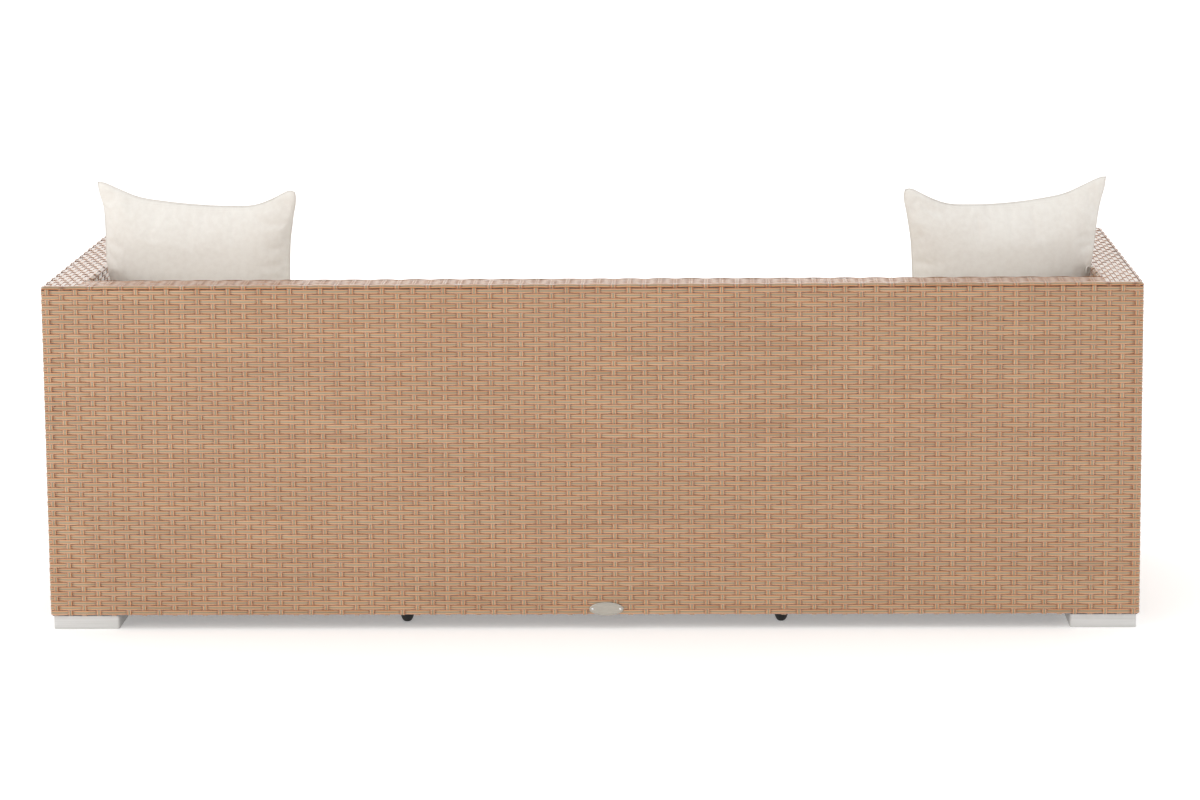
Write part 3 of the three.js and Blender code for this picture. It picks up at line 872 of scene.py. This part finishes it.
def oval_plate():
    """A thin oval with a raised rim line, a slightly dished face and a small pin at each end."""
    low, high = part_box("oval_plate")
    middle, thick = (low + high) / 2, high.y - low.y
    half_x, half_z = (high.x - low.x) / 2, (high.z - low.z) / 2
    shape = bmesh.new()
    add_turned(shape, rim_profile, rim_steps, lambda inset, rise, cosine, sine: (
        middle.x + (half_x - inset * mm) * cosine, low.y + rise * thick,
        middle.z + (half_z - inset * mm) * sine))
    for side in (1, -1):
        centre_x = middle.x + side * (half_x - pin_inset)
        pin = add_turned(shape, pin_profile, pin_steps, lambda share, rise, cosine, sine: (
            centre_x + share * pin_radius * cosine, low.y + rise * thick,
            middle.z + share * pin_radius * sine))
        for face in pin:
            face.material_index = 1
    bmesh.ops.recalc_face_normals(shape, faces=shape.faces)
    plate = smooth_object("plate_with_rim", shape, plate_finish, pin_finish)
    plate.data.set_sharp_from_angle(angle=math.radians(35))
    return plate


dress(oval_plate(), "frame", "plate", "oval_plate")
print("plate made")

# %% [markdown]
# ## Cloth
# Outdoor cushions are covered in solution-dyed polyester: a plain weave of thick, slightly fuzzy yarn.
# The weave is drawn on the cloth's own map, which is in metres, so its threads keep one size and lie
# square to the seams. Real threads are 0.4 mm apart, and here they are 1.1 mm, so that they show.

# %% Cloth finish
def woven_cloth(add, dark, pale, thread):
    """Matt woven cloth: two crossed sets of threads, a soft fuzz and a slight unevenness of colour."""
    flat = add("ShaderNodeUVMap", uv_map="cloth").outputs[0]
    place = add("ShaderNodeTexCoord").outputs["Object"]
    # The scale of these waves counts in radians
    across, along = (add("ShaderNodeTexWave",
                         {"Vector": flat, "Scale": 1 / thread / 6.28, "Distortion": 0.6, "Detail": 1},
                         bands_direction=way).outputs["Fac"] for way in "XY")
    threads = add("ShaderNodeMath", {0: across, 1: along}, operation="MAXIMUM")
    slub = add("ShaderNodeTexNoise", {"Vector": flat, "Scale": 90, "Detail": 4})
    cloud = add("ShaderNodeTexNoise", {"Vector": place, "Scale": 7, "Detail": 3})
    both = add("ShaderNodeMath", {0: slub, 1: cloud}, operation="ADD")
    mixed = add("ShaderNodeMath", {0: both, 1: 0.4}, operation="MULTIPLY")
    depth = add("ShaderNodeMath", {0: threads, 1: 0.2, 2: mixed}, operation="MULTIPLY_ADD")
    shade = add("ShaderNodeValToRGB", {"Fac": depth}, [(0.35, dark), (0.65, pale)])
    dull = add("ShaderNodeMapRange", {"Value": slub, "To Min": 0.82, "To Max": 0.95})
    bump = add("ShaderNodeBump", {"Height": threads, "Strength": 0.35, "Distance": 0.25 * mm})
    fuzz = add("ShaderNodeBump", {"Height": slub, "Strength": 0.25, "Distance": 0.25 * mm,
                                  "Normal": bump})
    return {"Base Color": shade, "Roughness": dull, "Normal": fuzz, "Sheen Weight": 0.25,
            "Sheen Roughness": 0.5, "Specular IOR Level": 0.3}


seat_cloth = new_material("woven_polyester", woven_cloth, "#D5CEC3", "#E1DBD2", 1.1 * mm)
pillow_cloth = new_material("fine_woven_polyester", woven_cloth, "#DCD7D0", "#E8E5DF", 0.9 * mm)
print("cloths:", seat_cloth.name, pillow_cloth.name)

# %% [markdown]
# ## Panels of a cushion
# A cushion starts as panels of small squares, already sewn along their edges: a skin of a block for a
# box cushion, two facing panels for a pillow. Because the squares are laid out in rows, each point
# knows its share across and along, its place on the cloth's map, and whether it is on a seam.

# %% Panels, sewn and filled
square_steps = ((0, 0), (1, 0), (1, 1), (0, 1))


def join_squares(squares):
    """Joins squares where corners meet. Each has four corners, an axis and whether it is turned over.
    Gives the points as shares from -1 to 1, the faces and their axes."""
    numbers, faces = {}, []
    for corners, _, turned_over in squares:
        face = [numbers.setdefault(corner, len(numbers)) for corner in corners]
        faces.append(face[::-1] if turned_over else face)
    return np.array(list(numbers)), faces, [axis for _, axis, _ in squares]


def block_skin(cells):
    """The skin of a block, its squares facing out."""
    squares = []
    for axis in range(3):
        u, v = (axis + 1) % 3, (axis + 2) % 3
        for end, i, j in np.ndindex(2, cells[u], cells[v]):
            corners = []
            for du, dv in square_steps:
                at = [0, 0, 0]
                at[axis], at[u], at[v] = end * cells[axis], i + du, j + dv
                corners.append(tuple(2 * a / n - 1 for a, n in zip(at, cells)))
            squares.append((corners, axis, end == 0))
    return join_squares(squares)


def pillow_skin(across, up):
    """Two facing panels that share the points of their rim."""
    squares = []
    for end, i, j in np.ndindex(2, across, up):
        corners = []
        for a, b in ((i + du, j + dv) for du, dv in square_steps):
            on_rim = a in (0, across) or b in (0, up)
            corners.append((2 * a / across - 1, 0 if on_rim else 2 * end - 1, 2 * b / up - 1))
        squares.append((corners, 1, end == 1))
    return join_squares(squares)


def sewn(name, places, laid_out, faces, axes, finish, seam, crease):
    """A mesh of the panels, with a cloth map in metres from their places when laid out. The seam's
    edges are creased, so that they keep their place when the mesh is made finer."""
    mesh = new_mesh(name, places, [], faces)
    ends = read_values(mesh.edges, "vertices", 2, np.int32).reshape(-1, 2)
    keep_values(mesh, "crease_edge", seam[ends].all(axis=1) * crease, domain="EDGE")
    corners, axis = np.array(faces).ravel(), np.repeat(axes, 4)
    first, second = np.array([1, 0, 0])[axis], np.array([2, 2, 1])[axis]
    flat = np.stack([laid_out[corners, first], laid_out[corners, second]], axis=1)
    mesh.uv_layers.new(name="cloth").uv.foreach_set("vector", flat.astype(np.float32).ravel())
    mesh.materials.append(finish)
    mesh.shade_smooth()
    return new_object(name, mesh)


filling_frames = 20
filling = {"quality": 5, "mass": 0.2, "tension_stiffness": 12, "compression_stiffness": 12,
           "shear_stiffness": 4, "bending_stiffness": 0.4, "use_pressure": True}


def fill(cushion, seam, pressure, fullness, cap):
    """Fills a sewn cushion: cloth under pressure, held at its seam. No point moves more than cap."""
    rest = np.array([point.co for point in cushion.data.vertices])
    held = cushion.vertex_groups.new(name="seam")
    held.add([int(i) for i in np.flatnonzero(seam)], 1.0, "REPLACE")
    cloth = cushion.modifiers.new("filling", "CLOTH")
    for name, value in {**filling, "uniform_pressure_force": pressure, "shrink_min": -fullness,
                        "vertex_group_mass": held.name}.items():
        setattr(cloth.settings, name, value)
    cloth.settings.effector_weights.gravity = 0
    cloth.collision_settings.use_collision = False
    cloth.point_cache.frame_start, cloth.point_cache.frame_end = 1, filling_frames
    for number in range(1, filling_frames + 1):
        scene.frame_set(number)
    filled = cushion.evaluated_get(bpy.context.evaluated_depsgraph_get()).to_mesh()
    moved = np.array([point.co for point in filled.vertices]) - rest
    scene.frame_set(1)
    cushion.modifiers.remove(cloth)
    distance = np.linalg.norm(moved, axis=1, keepdims=True)
    return rest + moved * np.minimum(1, cap / np.maximum(distance, 1e-9))


print("panels and filling ready")

# %% [markdown]
# ## Box cushions
# The seat cushions are boxes with piping round their upper and lower rims, and the back cushions are
# the same, stood on edge. One of each is filled by simulation. The other two of its row are copies
# with dents of their own, since no two cushions on a used sofa look the same.

# %% Shape of a box cushion
cushion_square = 11 * mm
round_corner, draw_in = 28 * mm, 5 * mm
gather_depth, gather_spacing = 2.2 * mm, 21 * mm
dent_depth = 4 * mm
at_end = 0.999
# A fixed seed, so that each run draws the same dents and gathers
seed_set(7)


def box_places(shares, half):
    """Places on a block with rounded upright corners and sides that are drawn in between them."""
    flat = shares[:, :2] * half[:2]
    inner = np.clip(flat, -(half[:2] - round_corner), half[:2] - round_corner)
    beyond = flat - inner
    length = np.linalg.norm(beyond, axis=1, keepdims=True)
    largest = np.abs(beyond).max(axis=1, keepdims=True)
    rounded = inner + beyond * np.where(length > 0, largest / np.maximum(length, 1e-9), 1)
    hollow = 1 - (rounded / half[:2]) ** 2
    rounded[:, 0] *= 1 - hollow[:, 1] * draw_in / half[0]
    rounded[:, 1] *= 1 - hollow[:, 0] * draw_in / half[1]
    return np.column_stack([rounded, shares[:, 2] * half[2]])


def pucker(places, rest, shares, half, seed):
    """Small gathers beside the rims, deepest at the seam and gone a few centimetres in."""
    gathered = places.copy()
    inset = np.min((1 - np.abs(shares[:, :2])) * half[:2], axis=1)
    along = np.where(np.abs(shares[:, 1]) > np.abs(shares[:, 0]), rest[:, 0], rest[:, 1])
    drift = np.array([noise_vector(Vector((a * 9, seed, 0))).x for a in along])
    wave = 0.5 + 0.5 * np.cos(2 * math.pi * along / gather_spacing + 5 * drift)
    fade = np.exp(-inset / (0.8 * gather_spacing)) * np.clip(inset / (0.15 * gather_spacing), 0, 1)
    on_face = np.sign(shares[:, 2]) * (np.abs(shares[:, 2]) > at_end)
    gathered[:, 2] -= on_face * gather_depth * wave * fade * (0.6 + 0.8 * np.abs(drift))
    return gathered


def dents(places, shares, seed):
    """Broad, shallow unevenness on the faces of a cushion, none at its rims."""
    dented = places.copy()
    away = np.clip(4 * (1 - np.abs(shares[:, :2]).max(axis=1)), 0, 1)
    lift = np.array([noise_vector(Vector((p[0] * 5, p[1] * 5, seed))).z for p in places])
    on_face = np.sign(shares[:, 2]) * (np.abs(shares[:, 2]) > at_end)
    dented[:, 2] += on_face * dent_depth * away * lift
    return dented


def ring_order(points, first, second):
    """Numbers of the chosen points in order round the middle, seen on two axes."""
    rim = np.flatnonzero(points)
    return rim[np.argsort(np.arctan2(second[rim], first[rim]))]


print("box cushion shapes ready")

# %% [markdown]
# ## Piping
# A cord covered in the same cloth is sewn into each rim. It is a path swept by a small circle, with
# the cover's slanting threads left to the finish. A tree does the sweep, fed with the rim's points.

# %% Piping tree
def piping_tree():
    """Sweeps a circle along a closed line of edges."""
    tree, add, given = new_tree("piping", [
        ("Line", "Geometry", None), ("Radius", "Float", 0.004), ("Sides", "Int", 8),
        ("Spacing", "Float", 0.008), ("Material", "Material", None)])
    path = add("GeometryNodeMeshToCurve", {0: given["Line"]})
    even = add("GeometryNodeResampleCurve", {"Curve": path, "Length": given["Spacing"]}, mode="LENGTH")
    circle = add("GeometryNodeCurvePrimitiveCircle", {"Resolution": given["Sides"],
                                                      "Radius": given["Radius"]})
    swept = add("GeometryNodeCurveToMesh", {"Curve": even, "Profile Curve": circle})
    return end_tree(tree, add, swept, given["Material"])


piping = piping_tree()


def pipe_rings(name, rings, radius, finish, spacing=8 * mm):
    """Piping along closed rings of places, all in one mesh."""
    edges, start = [], 0
    for ring in rings:
        edges += [(start + i, start + (i + 1) % len(ring)) for i in range(len(ring))]
        start += len(ring)
    line = new_object(name + "_line", new_mesh(name + "_line", np.concatenate(rings), edges))
    return run_tree(name, line, piping, {"Radius": radius, "Spacing": spacing, "Material": finish})


def dress_cover(cover, cord, body, slot, solid):
    """Makes a filled cover finer, and dresses it and its cord."""
    finer = cover.modifiers.new("finer", "SUBSURF")
    finer.levels = finer.render_levels = 1
    dress(cover, body, slot, solid)
    dress(cord, body, slot)
    print(cover.name, len(cover.data.polygons), "faces")


# %% [markdown]
# ## The seat and back cushions
# A cushion is made lying flat about its own middle, filled, and then turned and moved to where its
# solid is. Its underside is pressed flat where it rests, and nothing reaches past the solid's sides,
# so neighbours touch without cutting into each other.

# %% Row of cushions
piping_radius = 3.6 * mm
swell, side_room, side_gap = 9 * mm, 1.5 * mm, 0.3 * mm


def box_cushion_shape(half, cap):
    """The filled shape of one box cushion about its own middle, with all that it was sewn from."""
    shares, faces, axes = block_skin([max(2, round(2 * h / cushion_square)) for h in half])
    inset = side_room + piping_radius / 2
    places = box_places(shares, half - np.array([inset, inset, swell]))
    seam = (np.abs(shares[:, 2]) > at_end) & (np.abs(shares[:, :2]).max(axis=1) > at_end)
    cushion = sewn("cushion_shape", places, places, faces, axes, seat_cloth, seam, 0)
    filled = fill(cushion, seam, 3.5, 0.015, cap)
    bpy.data.objects.remove(cushion)
    return filled, places, shares, faces, axes, seam


def box_cushion(node, body, shape, half, turn, seed):
    """A cushion from the filled shape with its own gathers and dents, its piping and its place."""
    filled, rest, shares, faces, axes, seam = shape
    own = dents(pucker(filled, rest, shares, half, seed), shares, seed * 3.7)
    own[:, :2] = np.clip(own[:, :2], -half[:2] + side_gap, half[:2] - side_gap)
    own[:, 2] = np.maximum(own[:, 2], -half[2])
    if seed % 2:
        own[:, 0] *= -1
        faces = [face[::-1] for face in faces]
    low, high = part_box(node)
    placed = own @ np.array(turn).T + np.array((low + high) / 2)
    rings = [placed[ring_order(seam & (shares[:, 2] * level > 0), shares[:, 0], shares[:, 1])]
             for level in (-1, 1)]
    cushion = sewn(node.replace("_cushion", "_pad"), placed, own, faces, axes, seat_cloth, seam, 0.7)
    cord = pipe_rings(node.replace("_cushion", "_piping"), rings, piping_radius, seat_cloth)
    dress_cover(cushion, cord, body, "cushion_cloth", node)


lying, standing = Matrix.Identity(3), Matrix.Rotation(math.pi / 2, 3, "X")
for kind, carrier, turn, cap, first_seed in (("seat", "seat", lying, 16 * mm, 1),
                                             ("back", "backrest", standing, 18 * mm, 4)):
    low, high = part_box(f"middle_{kind}_cushion")
    half = np.abs(np.array(turn.transposed() @ (high - low))) / 2
    shape = box_cushion_shape(half, cap)
    for number, name in enumerate(("right", "middle", "left")):
        box_cushion(f"{name}_{kind}_cushion", f"{name}_{carrier}", shape, half, turn, first_seed + number)

# %% [markdown]
# ## Throw pillows
# A throw pillow is two square panels sewn face to face. In the picture the upper edge sags between
# two corners: the one by the arm runs out into a sharp ear, and the other is blunt. The outline is
# four smooth curves through a few marks, and the panels are stretched between them. The filling then
# gives the folds that run in from the seam.

# %% Outline of a throw pillow
pillow_lean = pillow_turn = math.radians(8)
pillow_sizes = np.array([382, 124, 392]) * mm / 2
pillow_square = 6 * mm
start_puff_share = 0.86
seam_set_back = 40 * mm
# Marks are shares of the half width, towards the arm, and of the half height
top_shares = [(-1.005, 1.005), (-0.963, 1.015), (-0.88, 0.982), (-0.8, 0.941), (-0.6, 0.865),
              (-0.3, 0.847), (0.02, 0.855), (0.335, 0.88), (0.64, 0.926), (0.85, 1.008), (0.984, 1.061),
              (1.043, 1.071)]
arm_side_shares = [(0.87, -1), (0.86, -0.5), (0.905, 0.1), (0.94, 0.35), (0.968, 0.66), (0.983, 0.77),
                   (1.005, 0.87), (1.027, 0.95), (1.043, 1.071)]
seat_side_shares = [(-0.87, -1), (-0.86, -0.5), (-0.915, 0.12), (-0.925, 0.3), (-0.945, 0.54),
                    (-0.965, 0.66), (-0.988, 0.79), (-1.012, 0.9), (-1.016, 0.96), (-1.005, 1.005)]
bottom_shares = [(-0.87, -1), (-0.5, -0.965), (0, -0.95), (0.5, -0.965), (0.87, -1)]


def curve_through(marks, at):
    """Places on a smooth curve through marks, where at runs from -1 at the first to 1 at the last."""
    marks = np.array(marks)
    lengths = np.concatenate([[0], np.cumsum(np.linalg.norm(np.diff(marks, axis=0), axis=1))])
    knots = 2 * lengths / lengths[-1] - 1
    slopes = np.gradient(marks, knots, axis=0)
    i = np.clip(np.searchsorted(knots, at, side="right") - 1, 0, len(knots) - 2)
    width = (knots[i + 1] - knots[i])[:, None]
    t = (at - knots[i])[:, None] / width
    return ((1 + 2 * t) * (1 - t) ** 2 * marks[i] + t * (1 - t) ** 2 * width * slopes[i]
            + t * t * (3 - 2 * t) * marks[i + 1] + t * t * (t - 1) * width * slopes[i + 1])


def pillow_places(shares, side, slack, squeeze):
    """Places of a pillow's points in its own upright plane, before it is filled."""
    u, face, v = shares.T
    to_arm = u * side
    a, b = (to_arm[:, None] + 1) / 2, (v[:, None] + 1) / 2
    across = (1 - b) * curve_through(bottom_shares, to_arm) + b * curve_through(top_shares, to_arm)
    upward = (1 - a) * curve_through(seat_side_shares, v) + a * curve_through(arm_side_shares, v)
    corners = ((1 - a) * (1 - b) * np.array(bottom_shares[0]) + a * (1 - b) * np.array(bottom_shares[-1])
               + (1 - a) * b * np.array(top_shares[0]) + a * b * np.array(top_shares[-1]))
    flat = across + upward - corners
    puff = np.sqrt(np.clip((1 - u * u) * (1 - v * v), 0, None))
    sag = slack * (1 - u * u) ** 2 * (v + 1) / 2
    # Squeezed between the arm and the back, a pillow lies flat at the rear and bulges at the front
    low_share = np.clip((0.75 - v) / 0.5, 0, 1)
    beside_arm = np.clip(to_arm, 0, 1) ** 2 * low_share
    depth = face * pillow_sizes[1] * puff * start_puff_share + seam_set_back * beside_arm * (1 - puff)
    outwards = flat[:, 0] * pillow_sizes[0] - squeeze * np.clip(to_arm, 0, 1) * low_share
    return np.column_stack([side * outwards, depth, flat[:, 1] * pillow_sizes[2] - sag])


print("pillow outline of", len(top_shares) + len(arm_side_shares), "marks and more")

# %% Throw pillows
seam_radius, press_bend = 0.7 * mm, 9 * mm
loop_z, loop_half, loop_lift, loop_radius = 650 * mm, (4.2 * mm, 7 * mm), 9 * mm, 1.2 * mm


def throw_pillow(name, body, side, slack, tilt, reach, squeeze):
    """A filled pillow with its seam, leaning and turned as its solid is and in the solid's place.
    Gives the places along its rim."""
    across, _, up = (round(2 * size / pillow_square) for size in pillow_sizes)
    shares, faces, axes = pillow_skin(across, up)
    places = pillow_places(shares, side, slack, squeeze)
    seam = shares[:, 1] == 0
    shape = sewn(name + "_shape", places, places, faces, axes, pillow_cloth, seam, 0)
    filled = fill(shape, seam, 4.5, 0.03, 14 * mm)
    bpy.data.objects.remove(shape)
    turned = np.array(Matrix.Rotation(-side * pillow_turn, 3, "Z") @ Matrix.Rotation(-pillow_lean, 3, "X")
                      @ Matrix.Rotation(-side * math.radians(tilt), 3, "Y"))
    low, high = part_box(name)
    at_rest = places @ turned.T
    rest_low, rest_high = at_rest.min(axis=0), at_rest.max(axis=0)
    shift = (np.array(low + high) - rest_low - rest_high) / 2
    shift[0] += side * reach
    shift[2] = low.z - rest_low[2]
    own = filled @ turned.T + shift
    # The cushion behind presses the rear flat, with a soft bend where the pressing starts
    own[:, 1] = high.y - press_bend * np.logaddexp(0, (high.y - own[:, 1]) / press_bend)
    pillow = sewn(name + "_cover", own, places, faces, axes, pillow_cloth, seam, 1)
    rim = own[ring_order(seam, shares[:, 0], shares[:, 2])]
    cord = pipe_rings(name + "_seam", [rim], seam_radius, pillow_cloth)
    dress_cover(pillow, cord, body, "pillow_cloth", name)
    return rim


def side_loop(name, side, rim):
    """A small loop of cord on the seam by the arm, as the picture shows on the right."""
    beside = rim[(rim[:, 0] - rim[:, 0].mean()) * side > 0]
    root = beside[np.argmin(np.abs(beside[:, 2] - loop_z))]
    turns = np.linspace(0, 2 * math.pi, 24, endpoint=False)
    inward = loop_half[0] * (1 + np.cos(turns))
    stands_off = loop_lift * (0.3 + inward / (2 * loop_half[0]))
    ring = np.column_stack([-side * inward, stands_off, loop_half[1] * np.sin(turns)]) + root
    return pipe_rings(name, [ring], loop_radius, pillow_cloth, 2 * mm)


throw_pillow("left_pillow", "left_throw", 1, 0, 0.5, -2 * mm, 0)
right_rim = throw_pillow("right_pillow", "right_throw", -1, 4 * mm, 0.8, 3 * mm, 11 * mm)
dress(side_loop("right_pillow_loop", -1, right_rim), "right_throw", "pillow_cloth")
print("pillows and loop made")
